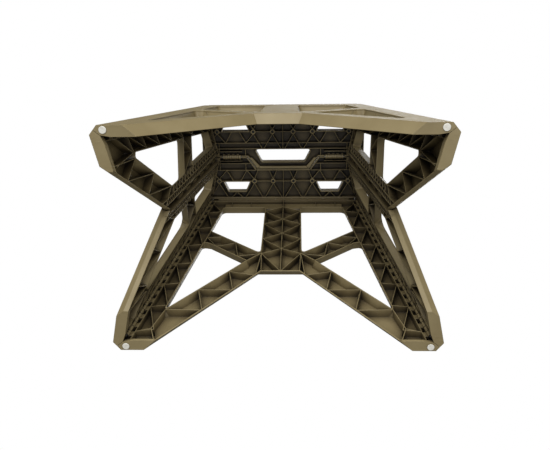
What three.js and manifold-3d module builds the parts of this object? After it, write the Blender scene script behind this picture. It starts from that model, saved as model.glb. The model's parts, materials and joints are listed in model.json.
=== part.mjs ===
// Folding step stool in moulded plastic: a two-part seat on two splayed leg panels, braced by two
// bi-fold end panels. Millimetres, +Z up, origin on the floor under the middle of the seat.
// X runs along the seat, Y across it. The rear is +Y and the right is +X.
import * as THREE from 'three';
import { mergeVertices } from 'three/addons/utils/BufferGeometryUtils.js';
import Module from 'manifold-3d';

const wasm = await Module();
wasm.setup();

// ---------------------------------------------------------------- driving dimensions
const seatTop = 410;
const seatThickness = 15;
const underside = seatTop - seatThickness;
const panelThickness = 12.4;
const skin = 2.6;
const wall = 2.4;
const rib = 1.9;

// Inner faces: leg panels at half depth, corner hinge lines and end panel middles at half length.
const legInnerTopY = 79.8;
const legInnerFloorY = 139.4;
const cornerTopX = 130;
const cornerFloorX = 204;
const endMiddleTopX = 113;

const seatHalfLength = 141;
const seatEdgeY = 76.8;
const seatCornerCut = 4.8;
const seatSplitGap = 0.4;
const tongueReach = 22.3;
const tongueHalfWidth = 46.5;
const tongueRootX = 62;
const notchGap = 0.9;
const panelTop = underside - 0.8;
const footBottom = 1.2;
const footChamfer = 10.2;
const mitreGap = 0.2;
const middleGap = 0.9;

const legHingeY = 84.5;
const legHingeZ = 402.5;
const legHingeRadius = 6.5;
const legHingeHalfLength = 128;
const legHingeSegments = 9;
const legRodRadius = 1.9;

const seatHingeZ = 394.8;
const seatHingeRadius = 3.8;
const seatHingeFrom = 74;
const seatHingeTo = 106;
const seatHingeSegments = 4;
const seatPinRadius = 1.4;

const cornerRadius = 3.6;
const cornerRodRadius = 1.5;
const cornerSegments = 6;
const cornerFrom = 14;
const cornerTo = 388;

const endHingeRadius = 3.4;
const endHingeTopX = 127;
const endHingeFrom = 188;
const endHingeTo = 390;
const endHingeSegments = 5;
const endRodRadius = 1.5;

const fitGap = 0.3;
const segmentGap = 0.35;
const knuckleClearance = 0.5;
const overrun = 4;
const padRadius = 4.6;
const padStemRadius = 2.5;
const padX = 200;
const padY = 145.8;
const bossRadius = 4.4;
const bossHoleRadius = 2.35;
const bossY = 45;
const bossX = [18.1, 51.5, 114.6];

const Z = new THREE.Vector3(0, 0, 1);
const vec = (x, y, z) => new THREE.Vector3(x, y, z);

// ---------------------------------------------------------------- solids
function solid(geometry) {
  const bare = geometry.clone();
  bare.deleteAttribute('normal');
  bare.deleteAttribute('uv');
  const merged = mergeVertices(bare, 1e-4);
  return new wasm.Manifold(new wasm.Mesh({
    numProp: 3,
    vertProperties: new Float32Array(merged.attributes.position.array),
    triVerts: new Uint32Array(merged.index.array),
  }));
}

function geometryOf(manifold) {
  const mesh = manifold.getMesh();
  const geometry = new THREE.BufferGeometry();
  geometry.setAttribute('position', new THREE.BufferAttribute(new Float32Array(mesh.vertProperties), 3));
  geometry.setIndex(new THREE.BufferAttribute(new Uint32Array(mesh.triVerts), 1));
  geometry.computeVertexNormals();
  return geometry;
}

const joinAll = (body, pieces) => pieces.reduce((sum, piece) => sum.add(piece), body);
const cutAll = (body, pieces) => pieces.reduce((rest, piece) => rest.subtract(piece), body);

// A geometry mirrored in the plane through the origin across one axis, with its faces turned back out.
function mirrored(geometry, axis) {
  const copy = geometry.clone();
  copy.scale(axis === 'x' ? -1 : 1, axis === 'y' ? -1 : 1, 1);
  const index = copy.index.array;
  for (let i = 0; i < index.length; i += 3) {
    [index[i], index[i + 1]] = [index[i + 1], index[i]];
  }
  copy.computeVertexNormals();
  return copy;
}

function rodBetween(start, end, radius, sides) {
  const along = end.clone().sub(start);
  const geometry = new THREE.CylinderGeometry(radius, radius, along.length(), sides);
  geometry.rotateX(Math.PI / 2);
  geometry.applyQuaternion(new THREE.Quaternion().setFromUnitVectors(Z, along.clone().normalize()));
  const middle = start.clone().add(end).multiplyScalar(0.5);
  geometry.translate(middle.x, middle.y, middle.z);
  return geometry;
}

function boxBetween(low, high) {
  const geometry = new THREE.BoxGeometry(high.x - low.x, high.y - low.y, high.z - low.z);
  geometry.translate((low.x + high.x) / 2, (low.y + high.y) / 2, (low.z + high.z) / 2);
  return geometry;
}

// Everything on the far side of a plane: the plane passes through point, and normal points into it.
function halfSpace(point, normal) {
  const size = 2000;
  const geometry = new THREE.BoxGeometry(size, size, size);
  geometry.translate(0, 0, size / 2);
  geometry.applyQuaternion(new THREE.Quaternion().setFromUnitVectors(Z, normal.clone().normalize()));
  geometry.translate(point.x, point.y, point.z);
  return solid(geometry);
}

// ---------------------------------------------------------------- panel planes
// A panel plane has its origin on the inner face, w up the slope, n out of the stool, and u = w x n.
function panelPlane(origin, outward) {
  const n = outward.clone().normalize();
  const w = Z.clone().addScaledVector(n, -n.dot(Z)).normalize();
  const u = w.clone().cross(n);
  const local = (point) => {
    const offset = point.clone().sub(origin);
    return new THREE.Vector2(offset.dot(u), offset.dot(w));
  };
  return { origin, n, w, u, local };
}

// A prism over an outline of points on the plane, between two distances along its normal.
function prism(plane, outline, from, to) {
  const shape = new THREE.Shape(outline.map(plane.local));
  const geometry = new THREE.ExtrudeGeometry(shape, { depth: to - from, bevelEnabled: false });
  geometry.translate(0, 0, from);
  geometry.applyMatrix4(new THREE.Matrix4().makeBasis(plane.u, plane.w, plane.n));
  geometry.translate(plane.origin.x, plane.origin.y, plane.origin.z);
  return solid(geometry);
}

// A triangle moved in from each of its sides by the same distance, or null if nothing is left.
function insetTriangle(triangle, distance) {
  const [a, b, c] = triangle;
  const sides = [b.distanceTo(c), c.distanceTo(a), a.distanceTo(b)];
  const around = sides[0] + sides[1] + sides[2];
  const area = b.clone().sub(a).cross(c.clone().sub(a)).length() / 2;
  const inradius = 2 * area / around;
  if (inradius < distance + 0.8) {
    return null;
  }
  const centre = a.clone().multiplyScalar(sides[0]);
  centre.addScaledVector(b, sides[1]);
  centre.addScaledVector(c, sides[2]);
  centre.divideScalar(around);
  return triangle.map((corner) => corner.clone().sub(centre)
    .multiplyScalar((inradius - distance) / inradius).add(centre));
}

// The triangles between two rows of nodes, alternately based on the first and on the second.
function zigzag(first, second) {
  const triangles = [];
  for (let i = 0; i + 1 < first.length || i + 1 < second.length; i += 1) {
    if (second[i] && first[i + 1]) {
      triangles.push([first[i], second[i], first[i + 1]]);
    }
    if (first[i + 1] && second[i + 1]) {
      triangles.push([second[i], first[i + 1], second[i + 1]]);
    }
  }
  return triangles;
}

const between = (a, b, t) => a.clone().lerp(b, t);
const row = (a, b, count) => Array.from({ length: count + 1 }, (_, i) => between(a, b, i / count));

function pockets(plane, triangles) {
  return triangles
    .map((triangle) => insetTriangle(triangle, rib / 2))
    .filter((triangle) => triangle !== null)
    .map((triangle) => prism(plane, triangle, -overrun, panelThickness - skin));
}

// ---------------------------------------------------------------- shared lines
const legSlope = (legInnerFloorY - legInnerTopY) / underside;
const legLean = Math.atan(legSlope);
const legFace = (x, z) => vec(x, legInnerTopY + legSlope * (underside - z), z);
const legPlane = panelPlane(legFace(0, 0), vec(0, Math.cos(legLean), Math.sin(legLean)));

const cornerSlope = (cornerFloorX - cornerTopX) / underside;
const cornerX = (z) => cornerTopX + cornerSlope * (underside - z);
const cornerAt = (z) => legFace(cornerX(z), z);
const cornerLine = cornerAt(0).sub(cornerAt(underside)).normalize();

const endOutward = vec(endMiddleTopX, 0, underside).sub(cornerAt(underside)).cross(cornerLine);
const endPlane = panelPlane(cornerAt(underside), endOutward);
const endFace = (y, z) => {
  const { origin, n } = endPlane;
  return vec(origin.x - (n.y * (y - origin.y) + n.z * (z - origin.z)) / n.x, y, z);
};

// All hinge lines of one end panel meet in this point above the stool, so that the panel can fold.
const apexHeight = underside + legInnerTopY / legSlope;
const apex = vec(cornerX(apexHeight), 0, apexHeight);
const endHingeAt = (z) => {
  const top = vec(endHingeTopX, 0, underside);
  return between(top, apex, (z - underside) / (apexHeight - underside));
};

const mitreOut = legPlane.n.clone().add(endPlane.n).normalize();
const mitreNormal = cornerLine.clone().cross(mitreOut).normalize();
// The normal may point to either side: this is +1 where it points to the end panel.
const mitreSide = Math.sign(mitreNormal.dot(vec(1, -1, 0)));
const mitreCutFor = (piece) => mitreNormal.clone().multiplyScalar(piece === 'leg' ? mitreSide : -mitreSide);
const chamferCut = halfSpace(cornerAt(0).addScaledVector(mitreOut, footChamfer), mitreOut);
const aboveTop = halfSpace(vec(0, 0, panelTop), Z);
const belowFoot = halfSpace(vec(0, 0, footBottom), Z.clone().negate());

// Knuckles along a line: every second one belongs to each side, with a small gap between them.
function segments(count, from, to, parity) {
  const step = (to - from) / count;
  return Array.from({ length: count }, (_, i) => [from + i * step, from + (i + 1) * step])
    .filter((_, i) => i % 2 === parity);
}

function knuckles(spans, at, radius, sides, gap) {
  return spans.map(([from, to]) => solid(rodBetween(at(from + gap), at(to - gap), radius, sides)));
}

const cornerHeights = (parity) => segments(cornerSegments, cornerFrom, cornerTo, parity);
const cornerKnuckles = (parity) => knuckles(cornerHeights(parity), cornerAt, cornerRadius, 8, segmentGap);
const cornerClearance = (parity) => knuckles(
  cornerHeights(parity), cornerAt, cornerRadius + knuckleClearance, 8, -segmentGap);
const cornerBore = solid(rodBetween(
  cornerAt(cornerFrom - 4), cornerAt(cornerTo + 4), cornerRodRadius + fitGap, 6));

// ---------------------------------------------------------------- leg panel (built at the rear)
function legRibs(side) {
  const at = (x, z) => legFace(side * x, z);
  const railInner = (z) => 98 + 0.1835 * (underside - z) + wall / 2;
  const railOuter = (z) => cornerX(z) - 7.5;
  const railTop = 349.2;
  const railPitch = 53.95;
  const heights = [underside - 14, railTop];
  for (let i = 1; i <= 6; i += 1) {
    heights.push(railTop - i * railPitch);
  }
  const triangles = [];
  triangles.push(...zigzag(
    heights.map((z) => at(railOuter(z), z)),
    heights.map((z) => at(railInner(z), z))));
  triangles.push([at(railOuter(24), 24), at(railInner(24), 24), at(railOuter(13), 13)]);

  // Spine and hub.
  const spineSide = 30.2;
  triangles.push(...zigzag(
    [at(0, 366), at(0, 322), at(0, 275.7), at(0, 228.6)],
    [at(spineSide, 350), at(spineSide, 306), at(spineSide, 258), at(spineSide, 214)]));
  triangles.push([at(0, 228.6), at(spineSide, 214), at(0, 166.5)]);
  triangles.push([at(spineSide, 214), at(28, 166.5), at(0, 166.5)]);

  // Front arm from the hub to the foot, rear arm from the hub to the rail.
  triangles.push(...zigzag(
    [at(52, 192.5), at(77, 163.5), at(117.8, 116.3), at(158.3, 69.6)],
    [at(31, 165), at(70.5, 119.2), at(112, 71), at(153, 23.3)]));
  triangles.push([at(30.2, 214), at(52, 192.5), at(31, 165)]);
  triangles.push(...zigzag(
    [at(34, 213), at(75, 246), at(118, 280.5)],
    [at(55, 196.5), at(92, 226), at(125, 252)]));

  // Band under the seat.
  triangles.push(...zigzag(
    [at(0, 389), at(37, 389), at(74, 389), at(104, 389)],
    [at(18, 365.5), at(55, 365.5), at(92, 365.5)]));
  return triangles;
}

function legPanel() {
  const spread = 16;
  const below = -12;
  const armFoot = 171.7;
  const half = [[cornerX(402) + spread, 402], [cornerX(below) + spread, below],
    [armFoot, below], [29, 163.8]];
  const outline = [
    ...half.map(([x, z]) => legFace(x, z)),
    ...half.reverse().map(([x, z]) => legFace(-x, z)),
  ];
  const rearWindow = [[31.5, 363], [103.6, 363], [118.4, 283], [32.5, 215]];
  const sideWindow = [[53.8, 193.3], [117, 243.9], [125.5, 246], [157.2, 72.5]];
  const windows = [];
  for (const side of [1, -1]) {
    for (const window of [rearWindow, sideWindow]) {
      windows.push(window.map(([x, z]) => legFace(side * x, z)));
    }
  }
  let body = prism(legPlane, outline, 0, panelThickness);
  body = cutAll(body, windows.map((window) => prism(legPlane, window, -overrun, panelThickness + overrun)));
  body = cutAll(body, pockets(legPlane, [...legRibs(1), ...legRibs(-1)]));

  // Seat hinge: knuckles on lugs that stand up from the top edge.
  const hingeAt = (x) => vec(x, legHingeY, legHingeZ);
  const spans = segments(legHingeSegments, -legHingeHalfLength, legHingeHalfLength, 0);
  const hingeLocal = legPlane.local(hingeAt(0));
  const lugs = spans.map(([from, to]) => {
    const low = vec(-to + segmentGap, hingeLocal.y - 16, 0.5);
    const high = vec(-from - segmentGap, hingeLocal.y, panelThickness - 0.5);
    const geometry = boxBetween(low, high);
    geometry.applyMatrix4(new THREE.Matrix4().makeBasis(legPlane.u, legPlane.w, legPlane.n));
    geometry.translate(legPlane.origin.x, legPlane.origin.y, legPlane.origin.z);
    return solid(geometry);
  });
  body = body.subtract(aboveTop).subtract(belowFoot);
  body = joinAll(body, lugs);
  body = joinAll(body, knuckles(spans, hingeAt, legHingeRadius, 10, segmentGap));
  body = body.subtract(solid(rodBetween(hingeAt(-140), hingeAt(140), legRodRadius + fitGap, 6)));

  // Mitred, chamfered corners with hinge knuckles, and bores for the foot pads.
  for (const side of [1, -1]) {
    const place = (manifold) => (side > 0 ? manifold : solid(mirrored(geometryOf(manifold), 'x')));
    const mitrePoint = cornerAt(0).addScaledVector(mitreNormal, -mitreGap * mitreSide);
    const mitre = halfSpace(mitrePoint, mitreCutFor('leg'));
    body = body.subtract(place(mitre)).subtract(place(chamferCut));
    body = cutAll(body, cornerClearance(1).map(place));
    body = joinAll(body, cornerKnuckles(0).map(place));
    body = body.subtract(place(cornerBore));
    const bore = rodBetween(vec(padX, padY, -1), vec(padX, padY, 10), padStemRadius + fitGap, 8);
    body = body.subtract(place(solid(bore)));
  }
  return geometryOf(body);
}

// ---------------------------------------------------------------- end panel halves (right rear)
function endRibs() {
  const at = endFace;
  const railInner = (z) => 47.5 + 0.158 * (underside - z) + wall / 2;
  const railOuter = (z) => legFace(0, z).y - 7.5;
  const triangles = [];
  const heights = [underside - 14, 344, 298, 252, 206, 160, 114, 72];
  triangles.push(...zigzag(
    heights.map((z) => at(railOuter(z), z)),
    heights.map((z) => at(railInner(z), z))));
  triangles.push(...zigzag(
    [at(railOuter(72), 72), at(railOuter(40), 40)],
    [at(98.5, 68), at(104, 22)]));

  // Middle bar, with small ribs.
  const barFrom = 392;
  const barTo = 150;
  triangles.push(...zigzag(
    row(at(24, barFrom - 8), at(24, barTo + 20), 9),
    row(at(4.5, barFrom - 4), at(4.5, barTo - 10), 9)));

  // Arm to the foot, strut across, and the band at the top.
  triangles.push(...zigzag(
    [at(25.5, 154.5), at(58, 112), at(91, 69)],
    [at(6, 128), at(38, 86), at(72, 40), at(100, 6 + footBottom)]));
  triangles.push(...zigzag(
    [at(24.5, 217.5), at(47, 234), at(70.5, 251.5)],
    [at(24.5, 254.5), at(45, 270), at(64.5, 284.5)]));
  triangles.push(...zigzag(
    [at(27, 389.5), at(52, 389.5)],
    [at(27, 373), at(50, 373)]));
  return triangles;
}

function endHalf(carriesRod) {
  const spread = 16;
  const below = -12;
  const outline = [[-3, 402], [legFace(0, 402).y + spread, 402], [legFace(0, below).y + spread, below],
    [104, below], [3, 122], [-3, 122]].map(([y, z]) => endFace(y, z));
  const bigWindow = [[25.5, 215], [70.6, 249.5], [97.8, 76], [92, 71], [25.5, 158]];
  const smallWindow = [[25.5, 257], [64.8, 286.5], [51.5, 368], [25.5, 370.5]];
  const windows = [bigWindow, smallWindow].map((window) => window.map(([y, z]) => endFace(y, z)));
  let body = prism(endPlane, outline, 0, panelThickness);
  body = cutAll(body, windows.map((window) => prism(endPlane, window, -overrun, panelThickness + overrun)));
  body = cutAll(body, pockets(endPlane, endRibs()));
  body = body.subtract(halfSpace(vec(0, middleGap, 0), vec(0, -1, 0)));

  // Middle hinge: webs out to the hinge line, which leaves the outer face towards the bottom.
  const ownSpans = segments(endHingeSegments, endHingeFrom, endHingeTo, carriesRod ? 0 : 1);
  const otherSpans = segments(endHingeSegments, endHingeFrom, endHingeTo, carriesRod ? 1 : 0);
  const sideways = panelPlane(vec(0, 0, 0), vec(0, 1, 0));
  const webEdge = carriesRod ? 0 : endRodRadius + 0.7;
  const webBack = 7;
  const outerFace = (z) => endFace(webBack, z).addScaledVector(endPlane.n, panelThickness).x;
  const webs = ownSpans.map(([from, to]) => prism(sideways, [
    vec(outerFace(from) - 4, 0, from + 1),
    vec(endHingeAt(from).x + (carriesRod ? 0 : 2), 0, from + 1),
    vec(endHingeAt(to).x + (carriesRod ? 0 : 2), 0, to - 1),
    vec(outerFace(to) - 4, 0, to - 1),
  ], webEdge, webBack));
  const otherWeb = knuckles(otherSpans, endHingeAt, endHingeRadius + 1.2, 6, -0.6);
  body = cutAll(body, otherWeb);
  body = joinAll(body, webs);
  if (carriesRod) {
    body = joinAll(body, knuckles(ownSpans, endHingeAt, endHingeRadius, 8, 1));
  }
  body = body.subtract(solid(rodBetween(
    endHingeAt(endHingeFrom - 6), endHingeAt(endHingeTo + 6), endRodRadius + fitGap, 6)));

  // Mitred, chamfered corner with hinge knuckles.
  const mitre = halfSpace(cornerAt(0).addScaledVector(mitreNormal, mitreGap * mitreSide), mitreCutFor('end'));
  body = body.subtract(mitre).subtract(chamferCut).subtract(aboveTop).subtract(belowFoot);
  body = cutAll(body, cornerClearance(0));
  body = joinAll(body, cornerKnuckles(1));
  return geometryOf(body.subtract(cornerBore));
}

// ---------------------------------------------------------------- seat halves (built at the rear)
const seatPrism = (outline, from, to) => {
  const shape = new THREE.Shape(outline.map(([x, y]) => new THREE.Vector2(x, y)));
  const geometry = new THREE.ExtrudeGeometry(shape, { depth: to - from, bevelEnabled: false });
  geometry.translate(0, 0, from);
  return solid(geometry);
};

function seatRibs(side) {
  const at = (x, y) => vec(side * x, y, 0);
  const [near, middle, far] = bossX;
  const triangles = [];
  // Outer band, between the boss row and the edge over the leg panel.
  const edge = seatEdgeY - wall;
  triangles.push([at(0, bossY), at(0, edge), at(near, bossY)]);
  triangles.push([at(0, edge), at(near, bossY), at(31, edge)]);
  triangles.push([at(near, bossY), at(31, edge), at(middle, bossY)]);
  triangles.push([at(31, edge), at(middle, bossY), at(44, edge)]);
  triangles.push([at(44, edge), at(middle, bossY), at(69, edge)]);
  triangles.push([at(102, edge), at(far, bossY), at(126, edge)]);
  triangles.push([at(126, edge), at(far, bossY), at(seatHalfLength - wall, bossY)]);
  // Middle band, in from the boss row.
  const inner = 24.5;
  triangles.push(...zigzag(
    [at(0, bossY), at(near, bossY), at(middle, bossY), at(67, bossY), at(83, bossY), at(99, bossY),
      at(far, bossY), at(seatHalfLength - wall, bossY)],
    [at(9, inner), at(34, inner), at(59, inner), at(75, inner), at(91, inner), at(107, inner),
      at(124, inner)]));
  // Inner band, beside the grip.
  triangles.push(...zigzag(
    [at(69, inner), at(85, inner), at(101, inner), at(117, inner), at(seatHalfLength - wall, inner)],
    [at(77, 7), at(93, 7), at(109, 7), at(125, 7)]));
  return triangles;
}

const gripSlot = [[49.2, 12.8], [37.4, -9.6], [-37.4, -9.6], [-49.2, 12.8]];

function seatHalf(front) {
  const end = [[seatHalfLength, seatSplitGap], [seatHalfLength, seatEdgeY - seatCornerCut],
    [seatHalfLength - seatCornerCut, seatEdgeY]];
  const middle = front
    ? [[tongueRootX, seatSplitGap], [tongueHalfWidth, -tongueReach]]
    : [[tongueRootX + 1.5 * notchGap, seatSplitGap], [tongueHalfWidth + notchGap, tongueReach + notchGap]];
  const right = [...middle.slice().reverse(), ...end];
  const outline = [...right, ...right.map(([x, y]) => [-x, y]).reverse()];
  let body = seatPrism(outline, underside, seatTop);
  if (front) {
    body = body.subtract(seatPrism(gripSlot, underside - overrun, seatTop + overrun));
  }

  // Ribs, windows and bosses.
  const window = [[59, bossY + 1], [67, 64], [98, 64], [106, bossY + 1]];
  const cells = [...seatRibs(1), ...seatRibs(-1)]
    .map((triangle) => insetTriangle(triangle, rib / 2))
    .filter((triangle) => triangle !== null)
    .map((triangle) => seatPrism(triangle.map((p) => [p.x, p.y]), underside - overrun, seatTop - skin));
  body = cutAll(body, cells);
  for (const side of [1, -1]) {
    body = body.subtract(seatPrism(window.map(([x, y]) => [side * x, y]), underside - overrun, seatTop + overrun));
    for (const x of bossX) {
      const foot = vec(side * x, bossY, underside);
      const head = vec(side * x, bossY, seatTop);
      body = body.add(solid(rodBetween(foot, head, bossRadius, 10)));
      body = body.subtract(solid(rodBetween(
        foot.clone().addScaledVector(Z, -2), head.clone().addScaledVector(Z, 2), bossHoleRadius, 6)));
    }
  }

  // Leg hinge knuckles.
  const legHingeAt = (x) => vec(x, legHingeY, legHingeZ);
  const legSpans = segments(legHingeSegments, -legHingeHalfLength, legHingeHalfLength, 1);
  body = joinAll(body, legSpans.map(([from, to]) => solid(boxBetween(
    vec(from + segmentGap, seatEdgeY - 3, legHingeZ - legHingeRadius + 0.3),
    vec(to - segmentGap, legHingeY, legHingeZ + legHingeRadius - 0.3)))));
  body = joinAll(body, knuckles(legSpans, legHingeAt, legHingeRadius, 10, segmentGap));
  body = body.subtract(solid(rodBetween(legHingeAt(-140), legHingeAt(140), legRodRadius + fitGap, 6)));

  // Centre hinge knuckles, each side of the grip.
  for (const side of [1, -1]) {
    const at = (x) => vec(side * x, 0, seatHingeZ);
    const own = segments(seatHingeSegments, seatHingeFrom, seatHingeTo, front ? 1 : 0);
    const other = segments(seatHingeSegments, seatHingeFrom, seatHingeTo, front ? 0 : 1);
    body = cutAll(body, knuckles(other, at, seatHingeRadius + knuckleClearance, 8, -segmentGap));
    body = joinAll(body, knuckles(own, at, seatHingeRadius, 8, segmentGap));
    body = body.subtract(solid(rodBetween(
      at(seatHingeFrom - 3), at(seatHingeTo + 3), seatPinRadius + fitGap, 6)));
  }
  return geometryOf(body);
}

// ---------------------------------------------------------------- assembly
const stool = new THREE.Group();

const olive = { color: 0x8c7f5a, roughness: 0.6, metalness: 0 };
const steel = { color: 0x77787a, roughness: 0.35, metalness: 1 };
const offWhite = { color: 0xe6e3d6, roughness: 0.5, metalness: 0 };
const rubber = { color: 0x2b2b28, roughness: 0.85, metalness: 0 };

function add(name, geometry, finish) {
  const mesh = new THREE.Mesh(geometry, new THREE.MeshStandardMaterial(finish));
  mesh.name = name;
  stool.add(mesh);
  return mesh;
}

const legGeometry = legPanel();
add('leg_panel_rear', legGeometry, olive);
add('leg_panel_front', mirrored(legGeometry, 'y'), olive);

const rodHalf = endHalf(true);
const fingerHalf = mirrored(endHalf(false), 'y');
add('end_half_right_rear', rodHalf, olive);
add('end_half_right_front', fingerHalf, olive);
add('end_half_left_rear', mirrored(rodHalf, 'x'), olive);
add('end_half_left_front', mirrored(fingerHalf, 'x'), olive);

add('seat_half_rear', seatHalf(false), olive);
add('seat_half_front', mirrored(seatHalf(true), 'y'), olive);

// Foot pads: a head under the foot and a stem in its bore.
const padProfile = [[0, 0], [padRadius - 0.4, 0], [padRadius, 0.4], [padRadius, footBottom - fitGap],
  [padStemRadius, footBottom - fitGap], [padStemRadius, 9], [0, 9]]
  .map(([radius, height]) => new THREE.Vector2(radius, height));
const padGeometry = new THREE.LatheGeometry(padProfile, 14);
padGeometry.rotateX(Math.PI / 2);

// Grip studs: a low dome on the seat and a stem in the boss.
const studProfile = [[0, seatThickness - 13], [1.9, seatThickness - 13], [1.9, seatThickness + fitGap],
  [5, seatThickness + fitGap], [4.6, seatThickness + 1.1], [3, seatThickness + 1.5],
  [0, seatThickness + 1.5]]
  .map(([radius, height]) => new THREE.Vector2(radius, height));
const studGeometry = new THREE.LatheGeometry(studProfile, 10);
studGeometry.rotateX(Math.PI / 2);

for (const [depth, ySign] of [['front', -1], ['rear', 1]]) {
  const legRod = rodBetween(
    vec(-legHingeHalfLength, 0, 0), vec(legHingeHalfLength, 0, 0), legRodRadius, 6);
  add(`leg_hinge_rod_${depth}`, legRod, steel).position.set(0, ySign * legHingeY, legHingeZ);
  for (const [side, xSign] of [['left', -1], ['right', 1]]) {
    let cornerRod = rodBetween(cornerAt(cornerFrom - 2), cornerAt(cornerTo + 2), cornerRodRadius, 6);
    cornerRod = xSign < 0 ? mirrored(cornerRod, 'x') : cornerRod;
    cornerRod = ySign < 0 ? mirrored(cornerRod, 'y') : cornerRod;
    add(`corner_rod_${side}_${depth}`, cornerRod, steel);
    add(`foot_pad_${side}_${depth}`, padGeometry, offWhite).position.set(xSign * padX, ySign * padY, 0);
  }
  const studX = [...bossX.map((x) => -x).reverse(), ...bossX];
  studX.forEach((x, i) => {
    add(`grip_stud_${depth}_${i + 1}`, studGeometry, rubber).position.set(x, ySign * bossY, underside);
  });
}

for (const [side, xSign] of [['left', -1], ['right', 1]]) {
  const pin = rodBetween(vec(seatHingeFrom - 1, 0, 0), vec(seatHingeTo + 1, 0, 0), seatPinRadius, 6);
  const pinGeometry = xSign < 0 ? mirrored(pin, 'x') : pin;
  add(`seat_hinge_pin_${side}`, pinGeometry, steel).position.set(0, 0, seatHingeZ);
  const rod = rodBetween(endHingeAt(endHingeFrom), endHingeAt(endHingeTo), endRodRadius, 6);
  add(`end_hinge_rod_${side}`, xSign < 0 ? mirrored(rod, 'x') : rod, steel);
}

export default stool;
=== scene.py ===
import json
import math

import bmesh
import bpy
from mathutils import Matrix, Vector


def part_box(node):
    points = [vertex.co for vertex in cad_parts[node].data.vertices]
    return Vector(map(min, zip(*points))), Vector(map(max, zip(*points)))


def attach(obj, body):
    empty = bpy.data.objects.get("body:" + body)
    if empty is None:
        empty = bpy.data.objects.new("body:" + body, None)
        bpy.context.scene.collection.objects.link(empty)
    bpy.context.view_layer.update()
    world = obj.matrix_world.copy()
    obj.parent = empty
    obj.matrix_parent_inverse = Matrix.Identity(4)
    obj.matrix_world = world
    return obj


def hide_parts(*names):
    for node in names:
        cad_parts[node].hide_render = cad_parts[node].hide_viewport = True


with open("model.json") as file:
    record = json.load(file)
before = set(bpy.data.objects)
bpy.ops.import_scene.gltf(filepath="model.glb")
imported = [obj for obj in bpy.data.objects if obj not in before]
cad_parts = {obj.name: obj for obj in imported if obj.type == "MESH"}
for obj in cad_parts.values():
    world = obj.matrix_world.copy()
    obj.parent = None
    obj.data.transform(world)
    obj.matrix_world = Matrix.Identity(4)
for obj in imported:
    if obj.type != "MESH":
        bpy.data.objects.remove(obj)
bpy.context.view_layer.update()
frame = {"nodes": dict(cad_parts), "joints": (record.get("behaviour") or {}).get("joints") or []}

# Folding step stool. Shapes are worked out in millimetres in the part's frame, at the right-hand rear
# where they repeat, and are mirrored and scaled to metres when they become objects.
MM = 0.001
scene = bpy.context.scene
joints = {joint["name"]: joint for joint in frame["joints"]}

# ---------------------------------------------------------------- dimensions shared with the CAD part
corner_top = Vector(joints["end_right_rear_fold"]["pos_m"]) / MM
corner_axis = Vector(joints["end_right_rear_fold"]["axis"])
leg_hinge = Vector(joints["seat_rear_fold"]["pos_m"]) / MM
seat_hinge = Vector(joints["seat_middle_fold"]["pos_m"]) / MM
underside = corner_top.z
corner_floor = corner_top - corner_axis * (corner_top.z / corner_axis.z)
thickness = 12.4
skin = 2.2
floor_depth = thickness - skin
seat_top = 410.0
panel_top = 394.2
foot_bottom = 1.2
foot_chamfer = 10.2
mitre_gap = 0.2
middle_gap = 0.9
arch_foot_x = 171.7
arch_drift = 0.8118  # across per millimetre up, along the edge of the arch
arm_drop = 1.327     # down per millimetre out, along the lower edge of an end panel
end_middle_x = 113.0
end_hinge_top_x = 127.0
end_hinge_from, end_hinge_to = 188.0, 390.0
corner_from, corner_to = 14.0, 388.0
leg_hinge_half_length = 128.0
leg_hinge_radius = 6.5
leg_hinge_spans = 9
leg_rod_bore = 2.2
pad_x, pad_y, pad_radius = 200, 145.8, 4.6
seat_half_length = 141.0
seat_edge = 76.8

# Depths run outwards through a panel, from its inner face at 0. Lips and rims stand a little inside it.
rim = -2.0
lip = -1.6
trough = 7.5         # width of the channel that holds a corner hinge
trough_lip = 0.7
rim_stop = 12.5      # inner rims end this far from a corner, to leave room when the stool is folded
arch_slant = 11.0    # how much wider an opening is at the outer face than at its lip
leg_window_slant = 4.2
end_window_slants = (8.5, 1.5)
bead_depth = 5.0
rail_taper_leg = 0.1835
rail_taper_end = 0.158

# Shapes run past a panel's edges to these lines, and cutting planes trim them.
spread = 16.0
below = -12.0
above = 402.0
cut_margin = 0.8

# Corner hinges between the leg and end panels.
corner_spans = 40
knuckle_radius = 2.9
knuckle_gap = 0.4
knuckle_sides = 14
rod_bore = 1.75
web_gap = 1.9

leg_slope = (corner_floor.y - corner_top.y) / underside
leg_lean = math.atan(leg_slope)
leg_normal = Vector((0, math.cos(leg_lean), math.sin(leg_lean)))
corner_slope = (corner_floor.x - corner_top.x) / underside


def leg_y(z):
    return corner_top.y + leg_slope * (underside - z)


def corner_x(z):
    return corner_top.x + corner_slope * (underside - z)


def corner_at(z):
    return Vector((corner_x(z), leg_y(z), z))


corner_line = (corner_at(0) - corner_at(underside)).normalized()
end_normal = (Vector((end_middle_x, 0, underside)) - corner_top).cross(corner_line).normalized()
if end_normal.x < 0:
    end_normal.negate()


def leg_place(x, z, depth):
    """A point of the rear leg panel: across, up, and through it from the inner face to the outer one."""
    return Vector((x, leg_y(z), z)) + leg_normal * depth


def end_place(y, z, depth):
    """A point of the right-hand end panel, rear half."""
    lean = end_normal.y * (y - corner_top.y) + end_normal.z * (z - corner_top.z)
    x = corner_top.x - lean / end_normal.x
    return Vector((x, y, z)) + end_normal * depth


def seat_place(x, y, depth):
    """A point of the rear seat half: depth runs up from the underside."""
    return Vector((x, y, underside + depth))


def sideways(x, z, y):
    """A point given across and up, with its depth along y."""
    return Vector((x, y, z))


apex_height = underside + corner_top.y / leg_slope
apex = Vector((corner_x(apex_height), 0, apex_height))


def end_hinge_at(z):
    top = Vector((end_hinge_top_x, 0, underside))
    return top.lerp(apex, (z - underside) / (apex_height - underside))


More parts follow.
